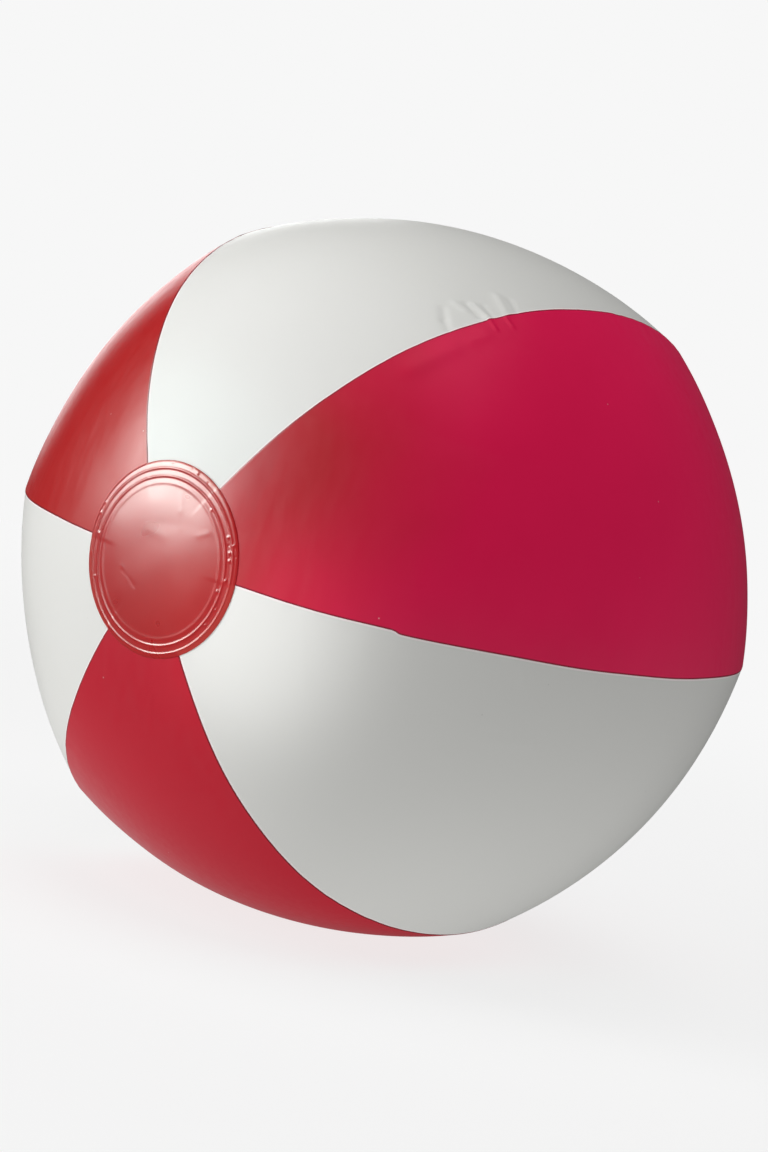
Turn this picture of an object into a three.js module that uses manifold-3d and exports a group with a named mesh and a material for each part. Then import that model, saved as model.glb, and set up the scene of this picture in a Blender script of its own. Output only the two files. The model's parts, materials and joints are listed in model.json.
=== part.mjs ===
// Inflatable beach ball: six welded film panels, an end disc over each pole and a push-in valve.
// Millimetres. The origin is the middle of the ball and +Z is up. The polar axis, on which the
// panel tips meet, lies along Y with the front disc at -Y. The ball rests on its bottom red panel.
import * as THREE from "three";
import { mergeVertices } from "three/addons/utils/BufferGeometryUtils.js";
import Module from "manifold-3d";

// Inflated shape
const SEAM_RADIUS = 141.8; // polar axis to a seam, at the equator
const POLE_HEIGHT = 132.6; // middle of the ball to the film at a pole
const SHOULDER_RADIUS = 142.1; // middle of the ball to a seam, halfway from pole to equator
const PANEL_FLATNESS = 4.4; // how far the middle of a panel lies inside its seams, at the equator
const FLOOR_FLAT = 30; // side of the patch that the ball's weight presses flat

// Film and welds
const FILM = 0.3; // thickness of a panel
const WELD_GAP = 0.3; // clearance between two welded layers
const SEAM_LAP = 5; // width of the weld where a red panel laps over a white one
const LAP_EASE = 4; // width over which a red panel comes down from its lap
const TIP_GAP = 2.5; // film left between two laps where the panel tips are cut off
const MOST_LAP = 0.6; // share of a red panel's half width that its lap takes at most, by the tips
const MOST_EASE = 0.8; // share that the lap and its ease take at most

// End discs
const DISC_RADIUS = 36.5;
const DISC_FILM = 0.4;
const WELD_RINGS = 3; // ridges pressed into the rim by the welding tool
const WELD_RING_PITCH = 2.4;
const WELD_RING_HEIGHT = 0.5;
const RIM_MARGIN = 1.7; // flat rim outside the rings

// Valve, on the middle line of the top white panel
const VALVE_ANGLE = 45; // degrees from the rear pole
const VALVE_GAP = 0.3; // clearance between the valve's pieces
const STEM_RADIUS = 4.6;
const STEM_LENGTH = 13;
const STEM_LIP = 0.4; // how far the lip and the foot stand out from the stem
const LIP_HEIGHT = 0.8;
const FOOT_HEIGHT = 1;
const BORE_RADIUS = 3;
const FLANGE_WIDTH = 6;
const FLANGE_THICKNESS = 0.8;
const FLANGE_EDGE = 0.35; // thickness left at the flange's rim
const HOLE_MARGIN = 1; // how far the hole in the panel stands back under the flange
const SKIRT_WALL = 0.5;
const SKIRT_TAPER = 0.7; // how far the folded skirt narrows on its way in
const CAP_OVERHANG = 1; // how far the plug's cap stands out from the stem
const CAP_THICKNESS = 1;
const CAP_CHAMFER = 0.25;
const NOSE_LENGTH = 2.9;
const TAB_REACH = 3.9; // pull tab, out from the cap's edge
const TAB_WIDTH = 5;
const TAB_THICKNESS = 0.8;
const STRAP_WIDTH = 4;
const STRAP_THICKNESS = 0.55;
const STRAP_BEND = 1; // how far the strap bows out from the cap
const STRAP_DROP = 4; // height from the strap's root on the stem up to the cap
const FLAP_RADIUS = 4;
const FLAP_THICKNESS = 0.5;
const FLAP_TONGUE = 0.9; // how far the hinge tongue reaches past the flap

// Facets
const HALF_ROWS = 10; // rows of facets from a panel tip to the floor patch
const WHITE_COLUMNS = 6;
const DISC_SEGMENTS = 40;
const VALVE_SEGMENTS = 32;

// Panels in order of turn about the polar axis, from +Z towards +X
const PANELS = [
  "top_white_panel",
  "upper_right_red_panel",
  "lower_right_white_panel",
  "bottom_red_panel",
  "lower_left_white_panel",
  "upper_left_red_panel",
];
const VALVE_PANEL = "top_white_panel";
const FLOOR_PANEL = "bottom_red_panel";

const RED_FILM = new THREE.MeshStandardMaterial({ color: 0xc21d3a, roughness: 0.36, metalness: 0 });
const WHITE_FILM = new THREE.MeshStandardMaterial({ color: 0xe8e8e3, roughness: 0.4, metalness: 0 });
const CLEAR_PVC = new THREE.MeshStandardMaterial({ color: 0xdfe4e6, roughness: 0.3, metalness: 0 });

const wasm = await Module();
wasm.setup();

/** A closed geometry as a solid that can be joined and cut. */
function toSolid(geometry) {
  const bare = geometry.clone();
  bare.deleteAttribute("normal");
  bare.deleteAttribute("uv");
  const merged = mergeVertices(bare, 1e-3);
  const vertProperties = merged.getAttribute("position").array;
  const triVerts = new Uint32Array(merged.index.array);
  return new wasm.Manifold(new wasm.Mesh({ numProp: 3, vertProperties, triVerts }));
}

/** The faces of a solid as a geometry. */
function toGeometry(solid) {
  const mesh = solid.getMesh();
  return new THREE.BufferGeometry()
    .setAttribute("position", new THREE.BufferAttribute(mesh.vertProperties, 3))
    .setIndex(new THREE.BufferAttribute(mesh.triVerts, 1));
}

/** Evenly spaced numbers from first to last, both included. */
function spread(first, last, count) {
  return Array.from({ length: count + 1 }, (_, i) => first + ((last - first) * i) / count);
}

// The inflated surface. theta is the angle from the front pole, and phi is the turn about the
// polar axis from +Z towards +X, with panel middles at whole panels and seams halfway between.
const PANEL_TURN = (2 * Math.PI) / PANELS.length;
const HALF_PANEL = PANEL_TURN / 2;

/** Distance from the middle of the ball to a seam: two cosines through the three set radii. */
function seamRadius(theta) {
  const mean = (POLE_HEIGHT + SEAM_RADIUS) / 4 + SHOULDER_RADIUS / 2;
  const flattening = (POLE_HEIGHT - SEAM_RADIUS) / 2;
  const squareness = mean - SHOULDER_RADIUS;
  return mean + flattening * Math.cos(2 * theta) + squareness * Math.cos(4 * theta);
}

/** Angle from a pole at which the seams are this far from the polar axis. */
function angleFromPole(axisDistance) {
  let theta = 0;
  for (let i = 0; i < 30; i++) theta = Math.asin(axisDistance / seamRadius(theta));
  return theta;
}

const DISC_ANGLE = angleFromPole(DISC_RADIUS);
const TIP_RADIUS = (2 * SEAM_LAP + TIP_GAP) / PANEL_TURN;
const TIP_ANGLE = angleFromPole(TIP_RADIUS);

/** How far the middle of a panel lies inside its seams: nothing under a disc, most at the equator. */
function sink(theta) {
  const fromPole = Math.min(theta, Math.PI - theta);
  const share = Math.max(0, (fromPole - DISC_ANGLE) / (Math.PI / 2 - DISC_ANGLE));
  return PANEL_FLATNESS * Math.sin((share * Math.PI) / 2);
}

/** Point of the film's outer face, moved out by lift. */
function surfacePoint(theta, phi, lift) {
  const across = (phi - PANEL_TURN * Math.round(phi / PANEL_TURN)) / HALF_PANEL;
  const radius = seamRadius(theta) - sink(theta) * (1 - across * across) + lift;
  const fromAxis = radius * Math.sin(theta);
  return new THREE.Vector3(
    fromAxis * Math.sin(phi),
    -radius * Math.cos(theta),
    fromAxis * Math.cos(phi),
  );
}

// Panels: closed film sheets between an outer and an inner grid of points.
const FLAT_ANGLE = Math.asin(FLOOR_FLAT / 2 / (SEAM_RADIUS - PANEL_FLATNESS));
const FLOOR_TURN = PANEL_TURN * PANELS.indexOf(FLOOR_PANEL);
const FLOOR_Z = surfacePoint(Math.PI / 2 - FLAT_ANGLE, FLOOR_TURN + FLAT_ANGLE, 0).z;
const LAP_LIFT = FILM + WELD_GAP;
const ROWS = [
  ...spread(TIP_ANGLE, Math.PI / 2 - FLAT_ANGLE, HALF_ROWS),
  Math.PI / 2,
  ...spread(Math.PI / 2 + FLAT_ANGLE, Math.PI - TIP_ANGLE, HALF_ROWS),
];

/** Columns of a white panel in one row: its face, and a margin under each red neighbour. */
function whiteColumns(theta) {
  const lap = SEAM_LAP / (seamRadius(theta) * Math.sin(theta));
  const face = spread(-HALF_PANEL, HALF_PANEL, WHITE_COLUMNS);
  const angles = [-HALF_PANEL - lap, ...face, HALF_PANEL + lap];
  return angles.map((angle) => ({ angle, lift: 0 }));
}

/** Columns of a red panel in one row: its edges lie on the white margins and ease down from them. */
function redColumns(theta) {
  const fromAxis = seamRadius(theta) * Math.sin(theta);
  const lapped = SEAM_LAP + WELD_GAP;
  const lapEnd = HALF_PANEL - Math.min(lapped / fromAxis, MOST_LAP * HALF_PANEL);
  const eased = (lapped + LAP_EASE) / fromAxis;
  const easeEnd = HALF_PANEL - Math.min(eased, MOST_EASE * HALF_PANEL);
  const flat = Math.min(FLAT_ANGLE, easeEnd / 2);
  const half = [flat, (flat + easeEnd) / 2, easeEnd, lapEnd, HALF_PANEL];
  const angles = [...half.map((angle) => -angle).reverse(), 0, ...half];
  return angles.map((angle) => {
    const fromSeam = (HALF_PANEL - Math.abs(angle)) * fromAxis;
    const comeDown = THREE.MathUtils.clamp((fromSeam - lapped) / LAP_EASE, 0, 1);
    return { angle, lift: LAP_LIFT * (1 - comeDown) };
  });
}

/** A closed sheet between two grids of points, its rows along theta and its columns along phi. */
function filmSheet(outer, inner) {
  const columns = outer[0].length;
  const lastRow = outer.length - 1;
  const lastColumn = columns - 1;
  const innerStart = outer.length * columns;
  const index = [];
  const quad = (a, b, c, d) => index.push(a, b, c, a, c, d);
  for (let row = 0; row < lastRow; row++) {
    for (let column = 0; column < lastColumn; column++) {
      const a = row * columns + column;
      const [b, c, d] = [a + 1, a + columns + 1, a + columns];
      quad(a, b, c, d);
      index.push(innerStart + a, innerStart + c, innerStart + b);
      index.push(innerStart + a, innerStart + d, innerStart + c);
    }
  }
  const rim = [
    ...spread(0, lastColumn - 1, lastColumn - 1),
    ...spread(0, lastRow - 1, lastRow - 1).map((row) => row * columns + lastColumn),
    ...spread(lastColumn, 1, lastColumn - 1).map((column) => lastRow * columns + column),
    ...spread(lastRow, 1, lastRow - 1).map((row) => row * columns),
  ];
  rim.forEach((here, i) => {
    const next = rim[(i + 1) % rim.length];
    quad(here, innerStart + here, innerStart + next, next);
  });
  const points = [...outer.flat(), ...inner.flat()];
  return new THREE.BufferGeometry().setFromPoints(points).setIndex(index);
}

/** One panel. The one on the floor is pressed flat where it would reach below it. */
function panel(name) {
  const place = PANELS.indexOf(name);
  const columns = place % 2 === 0 ? whiteColumns : redColumns;
  const floor = name === FLOOR_PANEL ? FLOOR_Z : -Infinity;
  const face = (depth) =>
    ROWS.map((theta) =>
      columns(theta).map(({ angle, lift }) => {
        const point = surfacePoint(theta, place * PANEL_TURN + angle, lift - depth);
        point.z = Math.max(point.z, floor + depth);
        return point;
      }),
    );
  return filmSheet(face(0), face(FILM));
}

/** End disc over the rear pole: a film cap with weld ridges near its rim, revolved about Y. */
function endDisc() {
  const seat = LAP_LIFT + WELD_GAP;
  const at = (axisDistance, lift) => {
    const theta = angleFromPole(axisDistance);
    const radius = seamRadius(theta) + lift;
    return new THREE.Vector2(radius * Math.sin(theta), radius * Math.cos(theta));
  };
  const ringsEnd = DISC_RADIUS - RIM_MARGIN;
  const ringsStart = ringsEnd - WELD_RINGS * WELD_RING_PITCH;
  const plain = spread(0, ringsStart, 3).slice(0, -1);
  const ridges = spread(ringsStart, ringsEnd, 2 * WELD_RINGS);
  const outer = [
    ...plain.map((x) => at(x, seat + DISC_FILM)),
    ...ridges.map((x, i) => at(x, seat + DISC_FILM + (i % 2) * WELD_RING_HEIGHT)),
    at(DISC_RADIUS, seat + DISC_FILM),
  ];
  const inner = spread(0, DISC_RADIUS, 4).map((x) => at(x, seat));
  return new THREE.LatheGeometry([...inner, ...outer.reverse()], DISC_SEGMENTS);
}

// Valve, in its own frame: the origin on the film's outer face, z out of the ball, y down the
// slope towards the rear pole. Radii and heights follow from the stem outwards.
const VALVE_THETA = Math.PI - THREE.MathUtils.degToRad(VALVE_ANGLE);
const CAP_RADIUS = STEM_RADIUS + CAP_OVERHANG;
const STRAP_MIDDLE = CAP_RADIUS + VALVE_GAP;
const STRAP_REACH = Math.hypot(STRAP_MIDDLE + STRAP_BEND, STRAP_WIDTH / 2);
const SKIRT_BORE = STRAP_REACH + 2 * VALVE_GAP;
const SKIRT_RADIUS = SKIRT_BORE + SKIRT_WALL;
const FLANGE_BORE = SKIRT_RADIUS + VALVE_GAP;
const FLANGE_RADIUS = FLANGE_BORE + FLANGE_WIDTH;
const FLANGE_TOP = WELD_GAP + FLANGE_THICKNESS;
const STEM_TOP = FLANGE_TOP;
const STEM_BOTTOM = STEM_TOP - STEM_LENGTH;
const CAP_BOTTOM = STEM_TOP + VALVE_GAP;
const CAP_MIDDLE = CAP_BOTTOM + CAP_THICKNESS / 2;

/** Direction out of the ball at the valve, square to the panel's middle line. */
function valveNormal() {
  const step = 1e-4;
  const ahead = surfacePoint(VALVE_THETA + step, 0, 0);
  const along = ahead.sub(surfacePoint(VALVE_THETA - step, 0, 0)).normalize();
  return new THREE.Vector3(1, 0, 0).cross(along).normalize();
}

/** How far the film falls away from the valve's flat seat at the flange's rim, where it falls least. */
function flangeDrop() {
  const seat = surfacePoint(VALVE_THETA, 0, 0);
  const along = FLANGE_RADIUS / seat.length();
  const across = along / Math.sin(VALVE_THETA);
  const rim = [
    surfacePoint(VALVE_THETA + along, 0, 0),
    surfacePoint(VALVE_THETA - along, 0, 0),
    surfacePoint(VALVE_THETA, across, 0),
  ];
  return Math.min(...rim.map((point) => seat.clone().sub(point).dot(valveNormal())));
}

/** A revolve about Z of [radius, height] points. */
function revolve(profile) {
  const points = profile.map(([radius, height]) => new THREE.Vector2(radius, height));
  return new THREE.LatheGeometry(points, VALVE_SEGMENTS).rotateX(Math.PI / 2);
}

/** Ring welded to the panel, curved as the film is and thinned towards its rim. */
function flange() {
  const fall = (radius) => flangeDrop() * (radius / FLANGE_RADIUS) ** 2;
  const radii = spread(FLANGE_BORE, FLANGE_RADIUS, 3);
  const thickness = (radius) =>
    THREE.MathUtils.mapLinear(radius, FLANGE_BORE, FLANGE_RADIUS, FLANGE_THICKNESS, FLANGE_EDGE);
  const under = radii.map((radius) => [radius, WELD_GAP - fall(radius)]);
  const over = radii.map((radius) => [radius, WELD_GAP - fall(radius) + thickness(radius)]);
  return revolve([...under, ...over.reverse(), under[0]]);
}

/** Thin skirt folded into the ball: down from the flange, round at the bottom, in to the stem's foot. */
function skirt() {
  const rimBottom = FLANGE_TOP - FLANGE_THICKNESS;
  const footMiddle = STEM_BOTTOM + FOOT_HEIGHT / 2;
  const edge = STEM_RADIUS + STEM_LIP + VALVE_GAP;
  const fold = SKIRT_RADIUS - SKIRT_TAPER - edge;
  const turn = footMiddle + fold;
  const roll = (radius) =>
    spread(0, -Math.PI / 2, 4).map((angle) => [
      edge + radius * Math.cos(angle),
      turn + (radius + SKIRT_WALL / 2) * Math.sin(angle),
    ]);
  const outside = [[SKIRT_RADIUS, FLANGE_TOP], [SKIRT_RADIUS, rimBottom], ...roll(fold)].reverse();
  const inside = [[SKIRT_BORE, FLANGE_TOP], ...roll(fold - SKIRT_WALL)];
  return revolve([...outside, ...inside, outside[0]]);
}

/** Mouthpiece tube with a lip at its top and a foot at its bottom. */
function stem() {
  const wide = STEM_RADIUS + STEM_LIP;
  return revolve([
    [BORE_RADIUS, STEM_BOTTOM],
    [wide, STEM_BOTTOM],
    [wide, STEM_BOTTOM + FOOT_HEIGHT],
    [STEM_RADIUS, STEM_BOTTOM + FOOT_HEIGHT + STEM_LIP],
    [STEM_RADIUS, STEM_TOP - LIP_HEIGHT - STEM_LIP],
    [wide, STEM_TOP - LIP_HEIGHT],
    [wide, STEM_TOP],
    [BORE_RADIUS, STEM_TOP],
    [BORE_RADIUS, STEM_BOTTOM],
  ]);
}

/** Radius of the plug's nose at its tip, which swings out of the bore about the strap. */
function noseTipRadius() {
  const hinge = STRAP_MIDDLE + STRAP_THICKNESS;
  const depth = NOSE_LENGTH - VALVE_GAP;
  const rise = CAP_MIDDLE - STEM_TOP;
  const farSide = hinge + BORE_RADIUS;
  return Math.sqrt(farSide * farSide - depth * depth - 2 * depth * rise) - hinge - VALVE_GAP;
}

/** Stopper: a cap with a pull tab, and a tapered nose in the stem's bore. */
function plug() {
  const capTop = CAP_BOTTOM + CAP_THICKNESS;
  const body = revolve([
    [0, CAP_BOTTOM - NOSE_LENGTH],
    [noseTipRadius(), CAP_BOTTOM - NOSE_LENGTH],
    [BORE_RADIUS - VALVE_GAP, CAP_BOTTOM],
    [CAP_RADIUS - CAP_CHAMFER, CAP_BOTTOM],
    [CAP_RADIUS, CAP_BOTTOM + CAP_CHAMFER],
    [CAP_RADIUS, capTop - CAP_CHAMFER],
    [CAP_RADIUS - CAP_CHAMFER, capTop],
    [0, capTop],
  ]);
  const end = TAB_WIDTH / 2;
  const outline = new THREE.Shape();
  outline.moveTo(-end, -STEM_RADIUS);
  outline.lineTo(-end, end - CAP_RADIUS - TAB_REACH);
  outline.absarc(0, end - CAP_RADIUS - TAB_REACH, end, Math.PI, 2 * Math.PI, false);
  outline.lineTo(end, -STEM_RADIUS);
  const settings = { depth: TAB_THICKNESS, bevelEnabled: false, curveSegments: 8 };
  const tab = new THREE.ExtrudeGeometry(outline, settings);
  tab.translate(0, 0, CAP_MIDDLE - TAB_THICKNESS / 2);
  return toGeometry(toSolid(body).add(toSolid(tab)));
}

/** Short band that ties the plug to the stem, bowed outwards, as a side outline carried across X. */
function strap() {
  const root = STEM_RADIUS + VALVE_GAP;
  const middle = CAP_MIDDLE - STRAP_DROP / 2;
  const rise = (STRAP_DROP + STRAP_THICKNESS) / 2;
  const quarter = Math.PI / 2;
  const outline = new THREE.Shape();
  outline.moveTo(root, middle - rise);
  outline.lineTo(STRAP_MIDDLE, middle - rise);
  outline.absellipse(STRAP_MIDDLE, middle, STRAP_BEND, rise, -quarter, quarter, false, 0);
  outline.absellipse(
    STRAP_MIDDLE,
    middle,
    STRAP_BEND - STRAP_THICKNESS,
    rise - STRAP_THICKNESS,
    quarter,
    -quarter,
    true,
    0,
  );
  outline.lineTo(root, middle - rise + STRAP_THICKNESS);
  const settings = { depth: STRAP_WIDTH, bevelEnabled: false, curveSegments: 10 };
  const band = new THREE.ExtrudeGeometry(outline, settings);
  band.translate(0, 0, -STRAP_WIDTH / 2);
  return band.applyMatrix4(
    new THREE.Matrix4().makeBasis(
      new THREE.Vector3(0, 1, 0),
      new THREE.Vector3(0, 0, 1),
      new THREE.Vector3(1, 0, 0),
    ),
  );
}

/** Non-return flap under the stem: a thin disc with a hinge tongue. */
function checkFlap() {
  const tongue = FLAP_RADIUS / 2;
  const side = Math.asin(tongue / FLAP_RADIUS);
  const outline = new THREE.Shape();
  outline.moveTo(tongue, FLAP_RADIUS + FLAP_TONGUE);
  outline.lineTo(-tongue, FLAP_RADIUS + FLAP_TONGUE);
  outline.absarc(0, 0, FLAP_RADIUS, Math.PI / 2 + side, Math.PI / 2 - side + 2 * Math.PI, false);
  const settings = { depth: FLAP_THICKNESS, bevelEnabled: false, curveSegments: 24 };
  const flap = new THREE.ExtrudeGeometry(outline, settings);
  return flap.translate(0, 0, STEM_BOTTOM - VALVE_GAP - FLAP_THICKNESS);
}

/** Cuts the round hole for the valve out of its panel. */
function cutValveHole(panelGeometry, valve) {
  const radius = FLANGE_BORE + HOLE_MARGIN;
  const drill = new THREE.CylinderGeometry(radius, radius, STEM_LENGTH, VALVE_SEGMENTS);
  drill.rotateX(Math.PI / 2).applyMatrix4(valve.matrix);
  return toGeometry(toSolid(panelGeometry).subtract(toSolid(drill)));
}

function named(name, geometry, material) {
  const mesh = new THREE.Mesh(geometry, material);
  mesh.name = name;
  return mesh;
}

const valve = new THREE.Group();
valve.position.copy(surfacePoint(VALVE_THETA, 0, 0));
valve.quaternion.setFromUnitVectors(new THREE.Vector3(0, 0, 1), valveNormal());
valve.updateMatrix();
valve.add(
  named("valve_flange", flange(), CLEAR_PVC),
  named("valve_skirt", skirt(), CLEAR_PVC),
  named("valve_stem", stem(), CLEAR_PVC),
  named("plug_strap", strap(), CLEAR_PVC),
  named("valve_plug", plug(), CLEAR_PVC),
  named("check_flap", checkFlap(), CLEAR_PVC),
);

const ball = new THREE.Group();
PANELS.forEach((name, place) => {
  const film = place % 2 === 0 ? WHITE_FILM : RED_FILM;
  const whole = panel(name);
  ball.add(named(name, name === VALVE_PANEL ? cutValveHole(whole, valve) : whole, film));
});
const rearDisc = named("rear_disc", endDisc(), RED_FILM);
const frontDisc = named("front_disc", endDisc(), RED_FILM);
frontDisc.rotation.z = Math.PI;
ball.add(rearDisc, frontDisc, valve);

export default ball;
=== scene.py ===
"""Looks of an inflatable beach ball: six welded PVC film panels, an end disc over each pole and
a push-in valve. Every piece is a surface worked out with numpy, in metres, in the part's own frame:
+Z up, the polar axis along Y with the front disc at -Y, the origin in the middle of the ball."""
import json

import bpy
import numpy as np
from mathutils import Matrix, Vector


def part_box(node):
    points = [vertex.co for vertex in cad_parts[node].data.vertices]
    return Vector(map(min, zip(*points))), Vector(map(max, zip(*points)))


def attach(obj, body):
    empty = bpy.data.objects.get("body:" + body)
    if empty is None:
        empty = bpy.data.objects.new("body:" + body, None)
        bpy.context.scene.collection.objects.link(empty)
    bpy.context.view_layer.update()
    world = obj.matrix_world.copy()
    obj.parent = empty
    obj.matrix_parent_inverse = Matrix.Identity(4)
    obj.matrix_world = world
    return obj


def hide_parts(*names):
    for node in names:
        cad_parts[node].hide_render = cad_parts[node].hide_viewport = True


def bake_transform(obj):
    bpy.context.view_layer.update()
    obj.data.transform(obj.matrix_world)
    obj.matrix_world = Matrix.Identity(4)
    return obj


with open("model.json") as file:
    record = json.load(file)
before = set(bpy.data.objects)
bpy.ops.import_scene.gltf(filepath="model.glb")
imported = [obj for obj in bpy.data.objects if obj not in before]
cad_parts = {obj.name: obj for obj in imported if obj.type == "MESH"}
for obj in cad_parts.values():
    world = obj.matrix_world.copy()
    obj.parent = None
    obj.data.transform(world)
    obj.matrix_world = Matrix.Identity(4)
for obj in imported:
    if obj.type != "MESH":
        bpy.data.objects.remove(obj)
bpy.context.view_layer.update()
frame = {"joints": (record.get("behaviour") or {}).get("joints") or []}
joints = {joint["name"]: joint for joint in frame["joints"]}

MM = 0.001

# Inflated shape
SEAM_RADIUS = 141.8 * MM  # polar axis to a seam, at the equator
POLE_HEIGHT = 132.6 * MM  # middle of the ball to the film at a pole
SHOULDER_RADIUS = 142.1 * MM  # middle of the ball to a seam, halfway from pole to equator
PANEL_FLATNESS = 4.4 * MM  # how far the middle of a panel lies inside its seams
PANELS = (
    "top_white_panel",
    "upper_right_red_panel",
    "lower_right_white_panel",
    "bottom_red_panel",
    "lower_left_white_panel",
    "upper_left_red_panel",
)
PANEL_TURN = 2 * np.pi / len(PANELS)
HALF_PANEL = PANEL_TURN / 2
FLOOR_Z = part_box("bottom_red_panel")[0].z

# Film, laps and tips
FILM = 0.16 * MM
LAP_LIFT = 0.22 * MM  # how far a red film's face stands over the white film that it laps
SEAM_LAP = 5 * MM
LAP_OVER = 0.3 * MM  # how far the red film stays up past the white film's margin
LAP_EASE = 26 * MM  # length over which it then comes down
TIP_GAP = 2.5 * MM  # film left between two laps where the tips are cut off
TIP_RADIUS = (2 * SEAM_LAP + TIP_GAP) / PANEL_TURN
CUT_EDGE = 0.6 * MM  # width over which the weld has pressed the cut edge of a red panel thin
CUT_THIN = 0.1 * MM  # how much thinner it is there
RIM_THIN = 0.6  # share by which the weld has pressed the rims of the discs and the flange thin

# End discs
DISC_RADIUS = 36.5 * MM
DISC_FILM = 0.4 * MM
DISC_SEAT = 0.03 * MM  # clearance under a disc
DISC_RIM = 0.9 * MM  # width of the pressed rim
DISC_TELEGRAPH = 0.5  # share of the laps' steps that shows through at a disc's rim
LAPS_SHOW = np.array([20, 29]) * MM  # distances from the axis between which they come to show
RING_RADII = np.array([28.7, 31.1, 34.1]) * MM
RING_HEIGHTS = np.array([0.11, 0.25, 0.25]) * MM
RING_WIDTHS = np.array([0.70, 0.43, 0.43]) * MM
RING_SHIFT = np.array([0.2, -0.55]) * MM  # how far the weld rings sit off the disc's middle, in X and Z

# Valve, on the middle line of the top white panel, from the stem outwards. Heights are over the film
VALVE_TURN = np.radians(135)  # from the front pole
STEM_RADIUS = 4.6 * MM
STEM_LENGTH = 13 * MM
STEM_LIP = 0.4 * MM  # how far the lip and the foot stand out from the stem
STEM_ROUNDING = 0.25 * MM
LIP_HEIGHT = 0.8 * MM
FOOT_HEIGHT = 1 * MM
BORE_RADIUS = 3 * MM
STEM_TOP = 1.1 * MM
STEM_BOTTOM = STEM_TOP - STEM_LENGTH
VALVE_GAP = 0.3 * MM
CAP_OVERHANG = 1 * MM
CAP_RADIUS = STEM_RADIUS + CAP_OVERHANG
CAP_THICKNESS = 1 * MM
CAP_BOTTOM = STEM_TOP + VALVE_GAP
CAP_ROUNDING = 0.3 * MM
NOSE_LENGTH = 2.9 * MM
NOSE_RADII = np.array([2.1, 2.7]) * MM  # at its tip and under the cap
TAB_REACH = 3.9 * MM
TAB_TIP = CAP_RADIUS + TAB_REACH
TAB_WIDTH = 5 * MM
TAB_RIBS = np.array([1.0, 1.9, 2.8]) * MM  # in from the tab's tip
STRAP_WIDTH = 4 * MM
STRAP_THICKNESS = 0.55 * MM
STRAP_MIDDLE = CAP_RADIUS + VALVE_GAP
STRAP_BEND = 1 * MM  # how far the strap bows out from the cap
STRAP_DROP = 4 * MM  # height from the strap's root on the stem up to the cap
SKIRT_WALL = 0.5 * MM
SKIRT_TAPER = 2 * MM  # how far the folded skirt narrows on its way in
SKIRT_FUNNEL = 0.45  # share of its depth in which it narrows
SKIRT_BORE = np.hypot(STRAP_MIDDLE + STRAP_BEND, STRAP_WIDTH / 2) + 2 * VALVE_GAP
SKIRT_RADIUS = SKIRT_BORE + SKIRT_WALL
FLANGE_WIDTH = 6 * MM
FLANGE_RADIUS = SKIRT_RADIUS + VALVE_GAP + FLANGE_WIDTH
FLANGE_EDGE = 0.35 * MM
FLANGE_RIM = 0.8 * MM
FLANGE_SINK = 0.06 * MM  # how far the weld has sunk the flange into the film
FLANGE_RIDGES = np.array([10.6, 12.2]) * MM
HOLE_MARGIN = 1 * MM  # how far the hole in the film stands back under the flange
HOLE_RADIUS = SKIRT_RADIUS + VALVE_GAP + HOLE_MARGIN
FLAP_RADIUS = 4 * MM
FLAP_THICKNESS = 0.5 * MM
FLAP_TONGUE = 0.9 * MM  # how far the hinge tongue reaches past the flap

# Relief of the film
GATHER_HEIGHT = 0.03 * MM
GATHER_REACH = 7 * MM  # how far the weld's waves run into the film
SLACK_SMALL = 0.10 * MM
SLACK_LARGE = 0.22 * MM
PUCKER_PLACE = -60 * MM  # middle of the puckers, along their seam from the equator
RELIEF_START = np.radians(8)  # angle beside a disc over which the relief sets in
VALVE_CALM = 20 * MM  # distance from the valve within which it dies away
DISC_UNEVEN = 0.035 * MM

# Grids
PANEL_ROWS = 330
HALF_COLUMNS = 52
MARGIN_COLUMNS = SEAM_LAP * np.array([0.32, 0.66, 1])
DISC_CELLS = 180
HOLE_RINGS = 4
VALVE_TURNS = np.linspace(0, 2 * np.pi, 120, endpoint=False)
FLANGE_ROWS = 56
PLUG_CELLS = 72


def soft_step(x):
    """Rises from 0 to 1 as x goes from 0 to 1, level at both ends: 3x^2 - 2x^3."""
    x = np.clip(x, 0, 1)
    return x * x * (3 - 2 * x)


def bell(x):
    """Gaussian bump of height 1 and width 1: e to the minus x squared."""
    return np.exp(-x * x)


def seam_radius(theta):
    """Middle of the ball to a seam at angle theta from the front pole: a mean radius plus a cosine
    of twice the angle for the flattening and one of four times for the square shoulders."""
    mean = (POLE_HEIGHT + SEAM_RADIUS) / 4 + SHOULDER_RADIUS / 2
    flattening = (POLE_HEIGHT - SEAM_RADIUS) / 2
    squareness = mean - SHOULDER_RADIUS
    return mean + flattening * np.cos(2 * theta) + squareness * np.cos(4 * theta)


def angle_from_pole(axis_distance):
    """Angle at which the seams are this far from the polar axis: the arc sine of the distance over
    the radius, repeated until it settles."""
    theta = np.zeros_like(np.asarray(axis_distance, float))
    for _ in range(30):
        theta = np.arcsin(axis_distance / seam_radius(theta))
    return theta


DISC_ANGLE = float(angle_from_pole(DISC_RADIUS))
TIP_ANGLE = float(angle_from_pole(TIP_RADIUS))


def nearest_seam(phi):
    """Number of the seam nearest to turn phi. Seam 0 lies between the top white panel and the upper
    right red one, and seam n is n panels further on."""
    return np.round((phi - HALF_PANEL) / PANEL_TURN)


def from_seam(theta, phi):
    """Arc length from the nearest seam, positive towards growing phi."""
    turn = phi - HALF_PANEL - PANEL_TURN * nearest_seam(phi)
    return seam_radius(theta) * np.sin(theta) * turn


def from_equator(theta):
    """Arc length along a meridian from the equator, negative towards the front pole."""
    return SEAM_RADIUS * (theta - np.pi / 2)


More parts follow.
